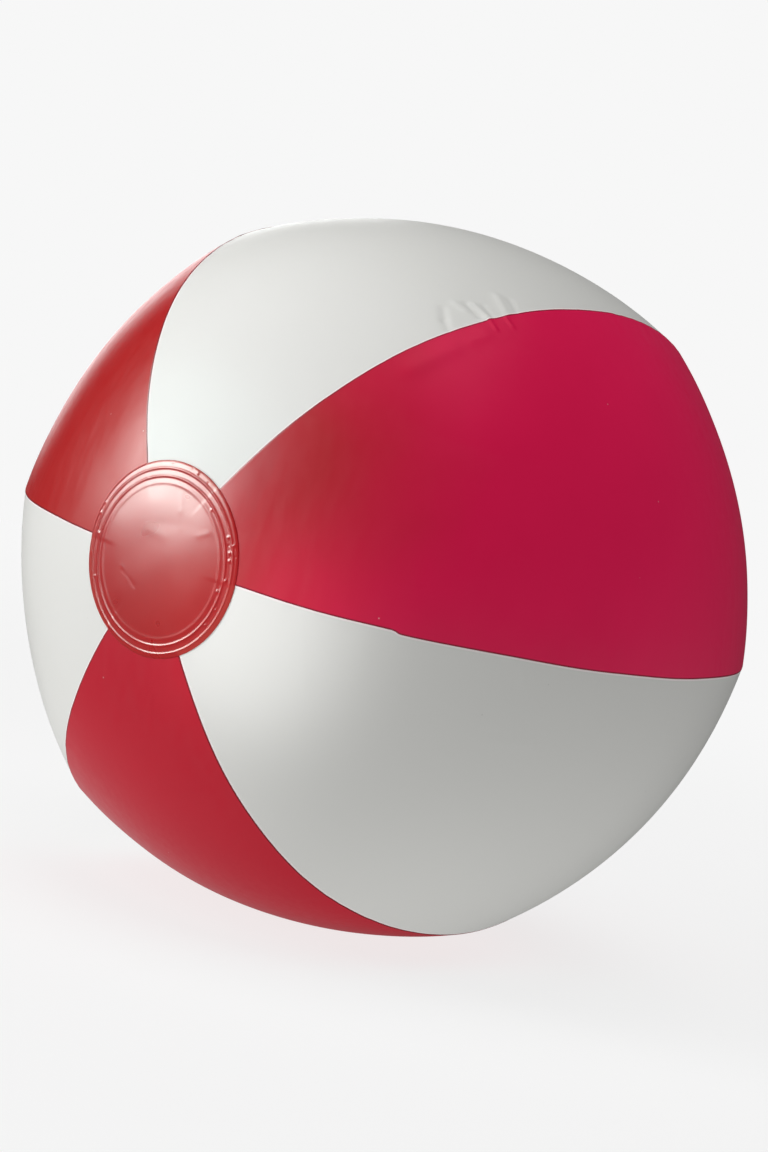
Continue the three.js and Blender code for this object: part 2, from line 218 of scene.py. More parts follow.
def panel_sink(theta):
    """How far a panel's middle lies inside its seams: a quarter sine from nothing at a disc's rim
    to PANEL_FLATNESS at the equator."""
    from_pole = np.minimum(theta, np.pi - theta)
    share = np.clip((from_pole - DISC_ANGLE) / (np.pi / 2 - DISC_ANGLE), 0, 1)
    return PANEL_FLATNESS * np.sin(share * np.pi / 2)


def gathers(theta, phi):
    """Fine waves that a weld leaves along its seam: three sines of the length along the seam, with
    phases that differ from seam to seam, dying away to both sides."""
    seam = nearest_seam(phi)
    along = from_equator(theta)
    fade = np.exp(-np.abs(from_seam(theta, phi)) / GATHER_REACH)
    swell = 0.55 + 0.45 * np.sin(along / (23 * MM) + 2.1 * seam)
    waves = sum(
        np.sin(2 * np.pi * along / (length * MM) + phase * (seam + 1))
        for length, phase in ((7.3, 1.7), (11.9, 2.9), (18.1, 4.3))
    )
    return GATHER_HEIGHT * waves * swell * fade


def crease(x, y, x0, y0, x1, y1, width, height):
    """A straight fold between two points: a bell of the distance from the line between them."""
    run = np.array([x1 - x0, y1 - y0])
    share = np.clip(((x - x0) * run[0] + (y - y0) * run[1]) / (run @ run), 0, 1)
    return height * bell(np.hypot(x - x0 - share * run[0], y - y0 - share * run[1]) / width)


# Puckers by seam 0, where the two films were pinched in welding. Each is a fold between two places,
# given by their lengths along the seam from the equator and across it, positive on the red side, then
# its half width and its height, all in millimetres
PUCKERS = (
    (-66, -13, -65, -8, 1.6, 0.42),
    (-60, -9.5, -59.5, -1.5, 1.3, 0.52),
    (-47.5, -11.5, -51, -1, 1.9, 0.4),
    (-72, -12.5, -75.5, -6.5, 1.5, -0.42),
    (-75.5, -6.5, -77, -2, 1.5, -0.34),
    (-62, -11.5, -62.5, -3, 1.2, -0.4),
    (-56.5, -8, -57.5, -1.5, 1.1, -0.34),
    (-44, -8, -46, -1.5, 1.3, -0.32),
    (-60, 0.5, -60, 5, 0.8, 0.32),
    (-53, 1, -52.5, 5.5, 0.8, 0.34),
    (-98, 7.5, -80, 7, 3.6, 0.34),
    (-72, 6.5, -65, 6, 2.6, 0.26),
)
# Marks of handling on the white film below seam 1, in the same terms, positive on the white side
HANDLING_MARKS = (
    (-76, 28, -70, 26.5, 1.2, 0.09),
    (-76, 34, -53, 32, 1.2, 0.1),
    (-87, 43, -80, 43.5, 1.2, 0.08),
    (-155, 3, -142, 31, 1.3, 0.06),
    (-131, 2, -127, 21, 1.3, 0.08),
    (-71, 2, -68, 9, 1.2, 0.09),
    (-79, 60, -75, 61.5, 1.2, 0.08),
)


def puckers(theta, phi):
    """The folds by seam 0, in a shallow dent, and the marks by seam 1: the sum of their creases."""
    along = from_equator(theta) / MM
    width = seam_radius(theta) * np.sin(theta) / MM
    by_seam = [width * (phi - HALF_PANEL - seam * PANEL_TURN) for seam in (0, 1)]
    dent = -0.3 * bell(np.hypot((along - PUCKER_PLACE / MM) / 15, (by_seam[0] + 8) / 8))
    folds = [(by_seam[0], fold) for fold in PUCKERS] + [(by_seam[1], mark) for mark in HANDLING_MARKS]
    return MM * (dent + sum(crease(along, across, *fold) for across, fold in folds))


def slack(x, y, z):
    """Broad unevenness of the film: products of sines of the place, in waves 10 to 20 cm long."""
    small = np.sin(x / (17 * MM) + 1.3) * np.sin(y / (21 * MM) + 0.4) * np.sin(z / (19 * MM) + 2.2)
    large = np.sin((x + y) / (31 * MM) + 0.7) * np.sin((z - y) / (27 * MM) + 1.9)
    return SLACK_SMALL * small + SLACK_LARGE * large


def ball_point(theta, phi, lift):
    """Point of the film's outer face, moved out by lift. The distance from the middle is the seam's
    radius, less the panel's sink times one minus the square of the place across the panel, plus
    the relief of the film, which dies away beside the discs and the valve."""
    across = (phi - PANEL_TURN * np.round(phi / PANEL_TURN)) / HALF_PANEL
    base = seam_radius(theta) - panel_sink(theta) * (1 - across * across)
    outwards = np.stack([np.sin(theta) * np.sin(phi), -np.cos(theta), np.sin(theta) * np.cos(phi)], -1)
    face = outwards * base[..., None]
    open_film = soft_step((np.minimum(theta, np.pi - theta) - DISC_ANGLE) / RELIEF_START)
    by_valve = bell(np.hypot(theta - VALVE_TURN, np.sin(VALVE_TURN) * phi) * SHOULDER_RADIUS / VALVE_CALM)
    relief = gathers(theta, phi) + puckers(theta, phi) + slack(*np.moveaxis(face, -1, 0))
    radius = base + relief * open_film * (1 - by_valve) + lift
    return outwards * radius[..., None]


def edge_wander(theta, seam):
    """How far a red panel's cut edge strays from its seam: slow sines of the length along it, a
    nick and a ripple on seam 0 and an offset on seam 1, where the cut was not straight."""
    along = from_equator(theta) / MM
    stray = 0.16 * np.sin(along / 21 + 1.9 * seam) + 0.10 * np.sin(along / 8.7 + 0.8 * seam)
    nick = 0.32 * bell((along + 59.2) / 1.8) + 0.35 * bell((along - 8) / 5) * np.sin(along / 2.3)
    offset = 0.45 * np.tanh((along + 119) / 0.8) * bell((along + 119) / 16)
    return (stray + np.where(seam == 0, nick, 0) + np.where(seam == 1, offset, 0)) * MM


def lap_lift(inside):
    """Lift of a red film by its length inside its cut edge: up on the white film's margin, easing
    down beyond it, and pressed thin at the very edge."""
    raised = LAP_LIFT * (1 - soft_step((inside - SEAM_LAP - LAP_OVER) / LAP_EASE))
    return raised - CUT_THIN * (1 - soft_step(inside / CUT_EDGE))


def layer_top(theta, phi):
    """Lift of the upper film anywhere on the ball: nothing on white, lap_lift on red, and a slope
    beside each cut edge, as a film laid over the step takes."""
    place = np.round(phi / PANEL_TURN)
    width = seam_radius(theta) * np.sin(theta)
    to_seam = (HALF_PANEL - np.abs(phi - PANEL_TURN * place)) * width
    red = np.mod(place, 2) == 1
    slope = LAP_LIFT * (1 - soft_step(to_seam / (1.4 * MM)))
    return np.where(red, np.maximum(lap_lift(to_seam + CUT_EDGE), 0), slope)


def pressed_rim(from_edge, width):
    """Share of its height that a piece keeps at a distance from its rim, where the weld has pressed
    it thin: a soft step over the width."""
    return 1 - RIM_THIN * soft_step(1 - from_edge / width)


def grid_quads(index):
    """Four-cornered faces between neighbours of a grid of vertex numbers."""
    corners = [index[:-1, :-1], index[:-1, 1:], index[1:, 1:], index[1:, :-1]]
    return np.stack(corners, -1).reshape(-1, 4)


def border(index):
    """Vertex numbers round a grid's rim, in the order of its faces."""
    return np.concatenate([index[0, :-1], index[:-1, -1], index[-1, :0:-1], index[:0:-1, 0]])


def strip_quads(upper, lower):
    """Faces of the closed band between two loops of vertex numbers."""
    return np.stack([upper, np.roll(upper, -1), np.roll(lower, -1), lower], -1)


def add_piece(name, points, quads, attributes=None):
    """A smooth mesh object at the origin from points and four-cornered faces. Points that no face
    uses are left out."""
    used, numbers = np.unique(quads, return_inverse=True)
    mesh = bpy.data.meshes.new(name)
    mesh.from_pydata(points[used], [], numbers.reshape(-1, 4))
    mesh.polygons.foreach_set("use_smooth", np.ones(len(mesh.polygons), bool))
    for label, values in (attributes or {}).items():
        layer = mesh.attributes.new(label, "FLOAT", "POINT")
        layer.data.foreach_set("value", values[used].astype(np.float32))
    piece = bpy.data.objects.new(name, mesh)
    bpy.context.scene.collection.objects.link(piece)
    return piece


def add_shell(name, outer, inner, faces, loops, attributes=None):
    """A closed piece from an outer and an inner face on the same grid, with walls round its rims.
    Seen from outside, a loop runs clockwise round the piece and the other way round a hole."""
    outer, inner = outer.reshape(-1, 3), inner.reshape(-1, 3)
    count = len(outer)
    walls = [strip_quads(loop, loop + count) for loop in loops]
    quads = np.concatenate([faces, faces[:, ::-1] + count, *walls])
    doubled = {label: np.tile(values.ravel(), 2) for label, values in (attributes or {}).items()}
    return add_piece(name, np.concatenate([outer, inner]), quads, doubled)


def add_plate(name, outer, inner, attributes=None):
    """A shell on one whole grid, with a wall round its rim."""
    index = np.arange(outer.size // 3).reshape(outer.shape[:2])
    return add_shell(name, outer, inner, grid_quads(index), [border(index)[::-1]], attributes)


def dress(piece, material, node):
    """Gives a piece its material and lets it stand for its CAD node."""
    piece.data.materials.append(material)
    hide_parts(node)
    return piece


# Panels

def panel_rows():
    """Angles of a panel's rows from tip to tip, closer together by the puckers: the running sum of
    a density of one plus a bell, shared out evenly."""
    theta = np.linspace(TIP_ANGLE, np.pi - TIP_ANGLE, 2000)
    density = 1 + 1.6 * bell((from_equator(theta) - PUCKER_PLACE) / (24 * MM))
    run = np.cumsum(density)
    shares = np.linspace(run[0], run[-1], PANEL_ROWS)
    return np.interp(shares, run, theta)


def panel_columns():
    """Places across a panel from -1 to 1, closest by the edges: one minus a fifth of the share from
    the edge and four fifths of that share to the power 2.2."""
    share = np.linspace(0, 1, HALF_COLUMNS + 1)
    inwards = 0.2 * share + 0.8 * share ** 2.2
    half = 1 - inwards
    return np.concatenate([-half, half[-2::-1]])


def white_grid(middle):
    """Angles of a white panel's grid: its sector, and a margin under the red panel on each side."""
    rows = panel_rows()[:, None]
    face = middle + HALF_PANEL * panel_columns()[None, :] + 0 * rows
    margin = MARGIN_COLUMNS[None, :] / (seam_radius(rows) * np.sin(rows))
    before = middle - HALF_PANEL - margin[:, ::-1]
    after = middle + HALF_PANEL + margin
    phi = np.concatenate([before, face, after], 1)
    return rows + 0 * phi, phi


def red_grid(middle):
    """Angles of a red panel's grid: its sector, out to where each cut edge strays."""
    rows = panel_rows()[:, None]
    columns = panel_columns()[None, :]
    seams = np.mod(np.round((middle + HALF_PANEL * np.array([-1, 1])) / PANEL_TURN - 0.5), len(PANELS))
    width = seam_radius(rows) * np.sin(rows)
    low = -HALF_PANEL - edge_wander(rows, seams[0]) / width
    high = HALF_PANEL + edge_wander(rows, seams[1]) / width
    phi = middle + np.where(columns < 0, -columns * low, columns * high)
    return rows + 0 * phi, phi


def past_red_edge(theta, phi):
    """Arc length from the nearest cut edge of a red film, positive on the white side of it."""
    seam = nearest_seam(phi)
    number = np.mod(seam, len(PANELS))
    # even seams have white before them and red behind them
    side = np.where(np.mod(seam, 2) == 0, -1, 1)
    return from_seam(theta, phi) * side - edge_wander(theta, number)


def round_valve(radius, heading):
    """Angles of the film at a radius round the valve's middle, the heading turning from the rear
    pole's side: the arc length split into its cosine along the panel and its sine across it."""
    theta = VALVE_TURN + radius / SHOULDER_RADIUS * np.cos(heading)
    return theta, radius / SHOULDER_RADIUS / np.sin(VALVE_TURN) * np.sin(heading)


def valve_patch(theta, phi, index):
    """Angles and vertex numbers of the film round the valve's hole: rings between the square rim of
    the block of faces that is left out of the panel's grid and the hole's circle. A ring's point
    lies its share of the way from the rim to the circle."""
    reach = HOLE_RADIUS + 5 * MM
    along = SHOULDER_RADIUS * (theta[:, 0] - VALVE_TURN)
    across = SHOULDER_RADIUS * np.sin(VALVE_TURN) * phi[np.abs(along).argmin()]
    rows = np.flatnonzero(np.abs(along) < reach)
    columns = np.flatnonzero(np.abs(across) < reach)
    block = np.s_[rows[0]:rows[-1] + 1, columns[0]:columns[-1] + 1]
    rim = border(index[block])
    rim_theta, rim_phi = theta.ravel()[rim], phi.ravel()[rim]
    heading = np.arctan2(rim_phi * np.sin(VALVE_TURN), rim_theta - VALVE_TURN)
    hole_theta, hole_phi = round_valve(HOLE_RADIUS, heading)
    share = np.linspace(0, 1, HOLE_RINGS + 1)[1:, None]
    ring_theta = rim_theta + share * (hole_theta - rim_theta)
    ring_phi = rim_phi + share * (hole_phi - rim_phi)
    rings = index.size + np.arange(share.size * rim.size).reshape(share.size, rim.size)
    return block, ring_theta.ravel(), ring_phi.ravel(), np.concatenate([rim[None, :], rings])


def panel(place, material):
    """One film panel: an outer and an inner face a film's thickness apart, closed round the rim and
    round the valve's hole. The panel on the floor is pressed flat where it would reach below it."""
    name = PANELS[place]
    red = place % 2 == 1
    theta, phi = (red_grid if red else white_grid)(place * PANEL_TURN)
    index = np.arange(theta.size).reshape(theta.shape)
    kept = np.ones(np.subtract(theta.shape, 1), bool)
    rings = None
    angles = theta.ravel(), phi.ravel()
    if name == "top_white_panel":
        block, ring_theta, ring_phi, rings = valve_patch(theta, phi, index)
        kept[block[0].start:block[0].stop - 1, block[1].start:block[1].stop - 1] = False
        angles = np.append(angles[0], ring_theta), np.append(angles[1], ring_phi)
    edge = past_red_edge(*angles) * (-1 if red else 1)
    lift = lap_lift(np.maximum(edge, 0)) if red else np.zeros_like(edge)
    unpressed = lift + CUT_THIN * (1 - soft_step(edge / CUT_EDGE)) if red else lift
    outer = ball_point(*angles, lift)
    inner = ball_point(*angles, unpressed - FILM)
    if name == "bottom_red_panel":
        outer[:, 2] = np.maximum(outer[:, 2], FLOOR_Z)
        inner[:, 2] = np.maximum(inner[:, 2], FLOOR_Z + FILM)
    faces = [grid_quads(index)[kept.ravel()]]
    loops = [border(index)[::-1]]
    if rings is not None:
        faces += [strip_quads(above, below) for above, below in zip(rings[:-1], rings[1:])]
        loops.append(rings[-1])
    piece = add_shell(name + "_film", outer, inner, np.concatenate(faces), loops, {"edge": edge})
    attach(dress(piece, material, name), "ball")


# End discs

# Creases in a disc's field: two ends in X and Z, half width and height, in millimetres
DISC_CREASES = (
    (-15.5, -8.5, -8, -12.5, 0.7, -0.08),
    (-16.5, -7, -12, -11, 0.8, 0.06),
    (3, 26, 5, 19.5, 1.3, 0.04),
    (5, 19.5, 7.5, 13.5, 1.1, 0.04),
    (16, 13, 20.5, 15.5, 1.2, 0.05),
    (-7.5, 9, 1, 8.5, 1.8, 0.03),
    (-2, 13, 12, 15.5, 2.2, -0.03),
)
# Bubbles and nicks caught in a disc's weld: distance from the axis, turn from +Z in degrees, half
# width and height, the lengths in millimetres
DISC_BUBBLES = (
    (33, 61, 0.55, 0.3),
    (32.6, 66, 0.35, -0.16),
    (34.9, 66.8, 0.55, 0.3),
    (33, 71, 0.6, 0.34),
    (35.4, 73.5, 0.35, -0.16),
    (32.9, 76, 0.55, 0.3),
    (32.3, 89, 0.65, 0.34),
    (30.2, 97.5, 0.6, 0.3),
    (32.6, 109, 0.45, 0.24),
    (32.7, 122, 0.5, 0.28),
    (35.2, -9, 0.3, -0.14),
    (35.6, 7, 0.35, -0.16),
    (35, 12, 0.45, 0.28),
    (34.8, 22, 0.35, -0.16),
    (29.8, 38, 0.45, 0.26),
    (35.6, -69, 0.5, 0.3),
    (35.5, -76, 0.55, 0.32),
    (32.6, -88, 0.55, 0.26),
    (34.6, -101, 0.45, 0.26),
    (33, -116, 0.4, 0.22),
    (35.3, -150, 0.6, 0.34),
)


def weld_rings(x, z):
    """Ridges that the welding tool left round a disc: the sum over the rings of a bell of the
    distance from the ring's line, a little lower where the tool pressed less."""
    distance = np.hypot(x - RING_SHIFT[0], z - RING_SHIFT[1])
    turn = np.arctan2(x, z)
    pressed = 1 + 0.18 * np.sin(3 * turn + 0.7) + 0.1 * np.sin(11 * turn)
    rings = zip(RING_RADII, RING_HEIGHTS, RING_WIDTHS)
    return pressed * sum(high * bell((distance - at) / wide) for at, high, wide in rings)


def disc_relief(x, z):
    """Height of a disc's outer face over plain film: rings, creases, bubbles and a slight unevenness."""
    height = weld_rings(x, z)
    # creases stop short of the rings
    field = 1 - soft_step((np.hypot(x, z) - 25 * MM) / (3 * MM))
    for fold in DISC_CREASES:
        height = height + MM * field * crease(x / MM, z / MM, *fold)
    for distance, turn, size, rise in DISC_BUBBLES:
        off = x / MM - distance * np.sin(np.radians(turn)), z / MM - distance * np.cos(np.radians(turn))
        height = height + MM * rise * bell(np.hypot(*off) / size)
    uneven = np.sin(x / (4.3 * MM) + 0.5) * np.sin(z / (5.1 * MM) + 1.1) + np.sin((x - z) / (8 * MM))
    return height + DISC_UNEVEN * uneven


def round_grid(cells):
    """Share of the radius and turn over a disc, on a square grid drawn out into circles: the larger
    of the two sides is the share of the radius, and the turn runs evenly along each side."""
    side = np.linspace(-1, 1, cells + 1)
    across, up = np.meshgrid(side, side)
    share = np.maximum(np.abs(across), np.abs(up))
    safe = np.maximum(share, 1e-9)
    upright = np.abs(up) >= np.abs(across)
    turn = np.where(upright, np.pi / 4 * across / safe * np.sign(up), 0)
    turn = np.where(upright & (up < 0), turn + np.pi, turn)
    sideways = np.pi / 2 - np.pi / 4 * up / safe * np.sign(across)
    turn = np.where(upright, turn, np.where(across > 0, sideways, sideways + np.pi))
    return share, turn


def end_disc(name, node, front, material):
    """A film disc over a pole. Its inner face lies on the panels' upper film, with the laps showing
    through by the rim and smoothed over in the middle, and its outer face has the weld's relief.
    The rim is pressed thin. At the rear the grid's lines swap and the relief is mirrored, so that the
    faces still point outwards and both discs look alike from outside."""
    share, turn = round_grid(DISC_CELLS)
    if not front:
        share, turn = share.T, turn.T
    # the rings have the closest lines
    distance = np.interp(share, [0, 0.5, 1], [0, RING_RADII[0] - 2.5 * MM, DISC_RADIUS])
    theta = angle_from_pole(distance)
    x, z = distance * np.sin(turn), distance * np.cos(turn)
    by_rim = DISC_TELEGRAPH * soft_step((distance - LAPS_SHOW[0]) / np.ptp(LAPS_SHOW))
    seat = DISC_SEAT + LAP_LIFT + by_rim * (layer_top(theta, turn) - LAP_LIFT)
    edge = DISC_RADIUS - distance
    relief = disc_relief(x, z) if front else disc_relief(-x, z)
    at = theta if front else np.pi - theta
    inner = ball_point(at, turn, seat)
    outer = ball_point(at, turn, seat + (DISC_FILM + relief) * pressed_rim(edge, DISC_RIM))
    over_white = soft_step(0.5 + np.cos(turn * len(PANELS) / 2) * 12)
    piece = add_plate(name, outer, inner, {"edge": edge, "over_white": over_white})
    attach(dress(piece, material, node), "ball")


# Valve, in its own frame: the origin on the film, z out of the ball along the stem's slide, y down the
# slope towards the rear pole

VALVE_X = np.array([1.0, 0.0, 0.0])
VALVE_Z = np.array(joints["stem_pull"]["axis"])
VALVE_Y = np.cross(VALVE_Z, VALVE_X)
VALVE_SEAT = (seam_radius(VALVE_TURN) - panel_sink(VALVE_TURN)) * np.array(
    [0, -np.cos(VALVE_TURN), np.sin(VALVE_TURN)]
)


def valve_point(x, y, z):
    """Point of the part's frame at x, y and z in the valve's frame."""
    return VALVE_SEAT + x[..., None] * VALVE_X + y[..., None] * VALVE_Y + z[..., None] * VALVE_Z


def rounded_loop(corners, rounding):
    """A closed outline with rounded corners: a parabola from a rounding's length before each corner
    to as far behind it."""
    corners = np.array(corners)
    before, after = np.roll(corners, 1, 0) - corners, np.roll(corners, -1, 0) - corners
    enter = corners + rounding * before / np.linalg.norm(before, axis=1, keepdims=True)
    leave = corners + rounding * after / np.linalg.norm(after, axis=1, keepdims=True)
    on = np.linspace(0, 1, 6)[None, :, None]
    off = 1 - on
    arcs = off * off * enter[:, None] + 2 * on * off * corners[:, None] + on * on * leave[:, None]
    return arcs.reshape(-1, 2)


def turned(name, outline):
    """A closed outline of radius and height, which runs up the outside, carried round the valve's axis."""
    radius, height = outline[:, 0, None], outline[:, 1, None]
    x, y = radius * np.cos(VALVE_TURNS), radius * np.sin(VALVE_TURNS)
    points = valve_point(x, y, height + 0 * x)
    index = np.arange(points.size // 3).reshape(points.shape[:2])
    rings = zip(index, np.roll(index, -1, 0))
    return add_piece(name, points.reshape(-1, 3), np.concatenate([strip_quads(*pair) for pair in rings]))


def flange(name, material):
    """Ring welded to the panel. Its height over the film falls in a straight line from the bore to the
    rim, with two ridges of the welding tool, a rounded bore and a rim pressed thin."""
    radius = np.linspace(SKIRT_BORE, FLANGE_RADIUS, FLANGE_ROWS)[:, None]
    theta, phi = round_valve(radius, VALVE_TURNS)
    slope = np.interp(radius, [SKIRT_BORE, FLANGE_RADIUS], [STEM_TOP, FLANGE_EDGE])
    ridges = 0.12 * MM * sum(bell((radius - at) / (0.3 * MM)) for at in FLANGE_RIDGES)
    rounding = 0.4 * MM * (1 - soft_step((radius - SKIRT_BORE) / (0.7 * MM)))
    height = (slope + ridges - rounding) * pressed_rim(FLANGE_RADIUS - radius, FLANGE_RIM)
    outer = ball_point(theta, phi, height)
    inner = ball_point(theta, phi, -FLANGE_SINK)
    index = np.arange(theta.size).reshape(theta.shape)
    faces = np.concatenate([strip_quads(*pair) for pair in zip(index[:-1], index[1:])])
    piece = add_shell(name, outer, inner, faces, [index[-1], index[0, ::-1]])
    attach(dress(piece, material, "valve_flange"), "ball")


def skirt(name, material):
    """Thin skirt folded into the ball, as its middle line with half the wall to both sides: down from
    the flange in a funnel, along the stem, and in a quarter circle to the stem's foot."""
    foot = STEM_RADIUS + STEM_LIP
    fold = SKIRT_RADIUS - SKIRT_TAPER - SKIRT_WALL / 2 - foot
    turn_height = STEM_BOTTOM + FOOT_HEIGHT / 2 + fold
    top_height = STEM_TOP - SKIRT_WALL
    share = np.linspace(0, 1, 40)
    quarter = np.linspace(0, np.pi / 2, 24)[1:]
    wall = np.stack(
        [
            SKIRT_RADIUS - SKIRT_WALL / 2 - SKIRT_TAPER * soft_step(share / SKIRT_FUNNEL),
            top_height + (turn_height - top_height) * share,
        ],
        1,
    )
    roll = np.stack([foot + fold * np.cos(quarter), turn_height - fold * np.sin(quarter)], 1)
    middle = np.concatenate([wall, roll])
    ahead = np.gradient(middle, axis=0)
    aside = np.stack([-ahead[:, 1], ahead[:, 0]], 1) / np.linalg.norm(ahead, axis=1, keepdims=True)
    inside, outside = middle - SKIRT_WALL / 2 * aside, middle + SKIRT_WALL / 2 * aside
    piece = turned(name, np.concatenate([outside[::-1], inside]))
    dress(piece, material, "valve_skirt")
    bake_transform(piece)


def stem(name, material):
    """Mouthpiece tube with a rounded lip at its top and a foot at its bottom."""
    wide = STEM_RADIUS + STEM_LIP
    corners = [
        [BORE_RADIUS, STEM_BOTTOM],
        [wide, STEM_BOTTOM],
        [wide, STEM_BOTTOM + FOOT_HEIGHT],
        [STEM_RADIUS, STEM_BOTTOM + FOOT_HEIGHT + STEM_LIP],
        [STEM_RADIUS, STEM_TOP - LIP_HEIGHT - STEM_LIP],
        [wide, STEM_TOP - LIP_HEIGHT],
        [wide, STEM_TOP],
        [BORE_RADIUS, STEM_TOP],
    ]
    piece = turned(name, rounded_loop(corners, STEM_ROUNDING))
    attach(dress(piece, material, "valve_stem"), "stem")


def strap(name, material):
    """Band that ties the plug to the stem: straight out from the stem, half an ellipse up and straight
    in to the cap, with half its thickness to both sides and thinner along its edges."""
    rise = STRAP_DROP / 2
    cap_middle = CAP_BOTTOM + CAP_THICKNESS / 2
    half_turn = np.linspace(-np.pi / 2, np.pi / 2, 40)
    bow_y = STRAP_MIDDLE + (STRAP_BEND - STRAP_THICKNESS / 2) * np.cos(half_turn)
    bow_z = cap_middle - rise + rise * np.sin(half_turn)
    # both ends run a little way into what they join
    path_y = np.concatenate([[STEM_RADIUS - 0.1 * MM], bow_y, [CAP_RADIUS - 0.2 * MM]])
    path_z = np.concatenate([bow_z[:1], bow_z, bow_z[-1:]])
    ahead = np.stack([np.gradient(path_y), np.gradient(path_z)])
    aside = np.stack([ahead[1], -ahead[0]]) / np.linalg.norm(ahead, axis=0)
    across = np.linspace(-1, 1, 17)[None, :]
    half = STRAP_THICKNESS / 2 * (1 - 0.75 * np.abs(across) ** 10)
    x = STRAP_WIDTH / 2 * across + 0 * path_y[:, None]
    thick_y, thick_z = half * aside[0][:, None], half * aside[1][:, None]
    outer = valve_point(x, path_y[:, None] + thick_y, path_z[:, None] + thick_z)
    inner = valve_point(x, path_y[:, None] - thick_y, path_z[:, None] - thick_z)
    # the grid's faces look to the stem, so the two sides change places
    piece = add_plate(name, inner, outer)
    dress(piece, material, "plug_strap")
    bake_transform(piece)


def joined_radius(first, second):
    """Outline of two shapes joined with a soft corner, by their radii at each turn: the sixteenth
    root of the sum of their sixteenth powers."""
    return (first ** 16 + second ** 16) ** (1 / 16)


def edge_rounding(from_edge, rounding):
    """How far a rounded edge has fallen at a distance from it: a quarter circle."""
    inwards = np.clip(1 - from_edge / rounding, 0, 1)
    return rounding * (1 - np.sqrt(1 - inwards * inwards))


def tab_outline(turn):
    """Radius of the pull tab at each turn: along its straight sides half the width over the sine, and
    at its end the far crossing with a circle. It is nothing on the turns away from the tab."""
    half = TAB_WIDTH / 2
    straight = TAB_TIP - half
    ahead = np.maximum(-np.cos(turn), 0)
    side = half / np.maximum(np.abs(np.sin(turn)), 1e-6)
    to_end = ahead * straight
    round_end = to_end + np.sqrt(np.maximum(to_end ** 2 - straight ** 2 + half ** 2, 0))
    return np.where(side * ahead < straight, side, round_end) * (ahead > 0)


def plug(name, material):
    """Stopper: a round cap with a slightly dished top, a pull tab with three grip ribs, and a tapered
    nose. Its outline is a radius for each turn, and its top and underside are heights over it."""
    share, turn = round_grid(PLUG_CELLS)
    rim = joined_radius(CAP_RADIUS, tab_outline(turn))
    # the grid's lines gather along the nose, out to a seat under the cap, and by the rim
    seat = 3.2 * MM
    inner_share = 0.45
    core = np.interp(share, [0, 0.12, 0.2, 0.38, inner_share], [0, 1.9 * MM, *NOSE_RADII, seat])
    outwards = np.clip((share - inner_share) / (1 - inner_share), 0, 1)
    radius = core + (rim - seat) * (1 - (1 - outwards) ** 1.8)
    x, y = radius * np.sin(turn), radius * np.cos(turn)
    from_rim = rim - radius
    on_tab = soft_step((radius - CAP_RADIUS + 0.4 * MM) / (1.2 * MM))
    fall = edge_rounding(from_rim, CAP_ROUNDING) + 0.1 * MM * on_tab
    dish = 0.14 * MM * (1 - soft_step((radius - 2.6 * MM) / (1.4 * MM)))
    ribs = sum(bell((y + TAB_TIP - at) / (0.22 * MM)) for at in TAB_RIBS)
    ribs = 0.14 * MM * ribs * on_tab * soft_step(from_rim / (0.9 * MM))
    nose = NOSE_LENGTH * np.interp(radius, NOSE_RADII, [1, 0])
    tip_rounding = edge_rounding(NOSE_RADII[0] - radius, 0.35 * MM) * (radius < NOSE_RADII[0])
    top = CAP_BOTTOM + CAP_THICKNESS - fall - dish + ribs
    underside = CAP_BOTTOM + fall - nose + tip_rounding
    piece = add_plate(name, valve_point(x, y, top), valve_point(x, y, underside))
    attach(dress(piece, material, "valve_plug"), "plug")


def check_flap(name, material):
    """Non-return flap under the stem: a thin disc with a hinge tongue, as a radius for each turn, with
    rounded edges."""
    share, turn = round_grid(PLUG_CELLS // 2)
    end = FLAP_RADIUS + FLAP_TONGUE
    side = FLAP_RADIUS / 2 / np.maximum(np.abs(np.sin(turn)), 1e-6)
    ahead = end / np.maximum(np.cos(turn), 1e-6)
    rim = joined_radius(FLAP_RADIUS, np.minimum(side, ahead) * (np.cos(turn) > 0))
    rim = np.minimum(rim, ahead)
    radius = rim * (1 - (1 - share) ** 1.5)
    fall = edge_rounding(rim - radius, 0.18 * MM)
    x, y = radius * np.sin(turn), radius * np.cos(turn)
    top = STEM_BOTTOM - VALVE_GAP - fall
    underside = STEM_BOTTOM - VALVE_GAP - FLAP_THICKNESS + fall
    piece = add_plate(name, valve_point(x, y, top), valve_point(x, y, underside))
    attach(dress(piece, material, "check_flap"), "flap")


# Materials

def linear(hex_colour):
    """A colour written as sRGB hex, as the linear values that shaders take."""
    srgb = np.array([int(hex_colour[i:i + 2], 16) for i in (1, 3, 5)]) / 255
    values = np.where(srgb <= 0.04045, srgb / 12.92, ((srgb + 0.055) / 1.055) ** 2.4)
    return (*values.tolist(), 1.0)


def add_node(tree, kind, inputs=None, **settings):
    """Adds a shader node with its settings. An input is a value, a socket to link it to, or a node
    whose first output it takes."""
    made = tree.nodes.new("ShaderNode" + kind)
    for name, value in settings.items():
        setattr(made, name, value)
    for place, value in (inputs or {}).items():
        if isinstance(value, bpy.types.Node):
            value = value.outputs[0]
        if isinstance(value, bpy.types.NodeSocket):
            tree.links.new(value, made.inputs[place])
        else:
            made.inputs[place].default_value = value
    return made


def new_material(name):
    """A new node material, its tree and the socket with the place in the part's frame."""
    material = bpy.data.materials.new(name)
    material.use_nodes = True
    material.node_tree.nodes.clear()
    place = add_node(material.node_tree, "TexCoord").outputs["Object"]
    return material, material.node_tree, place


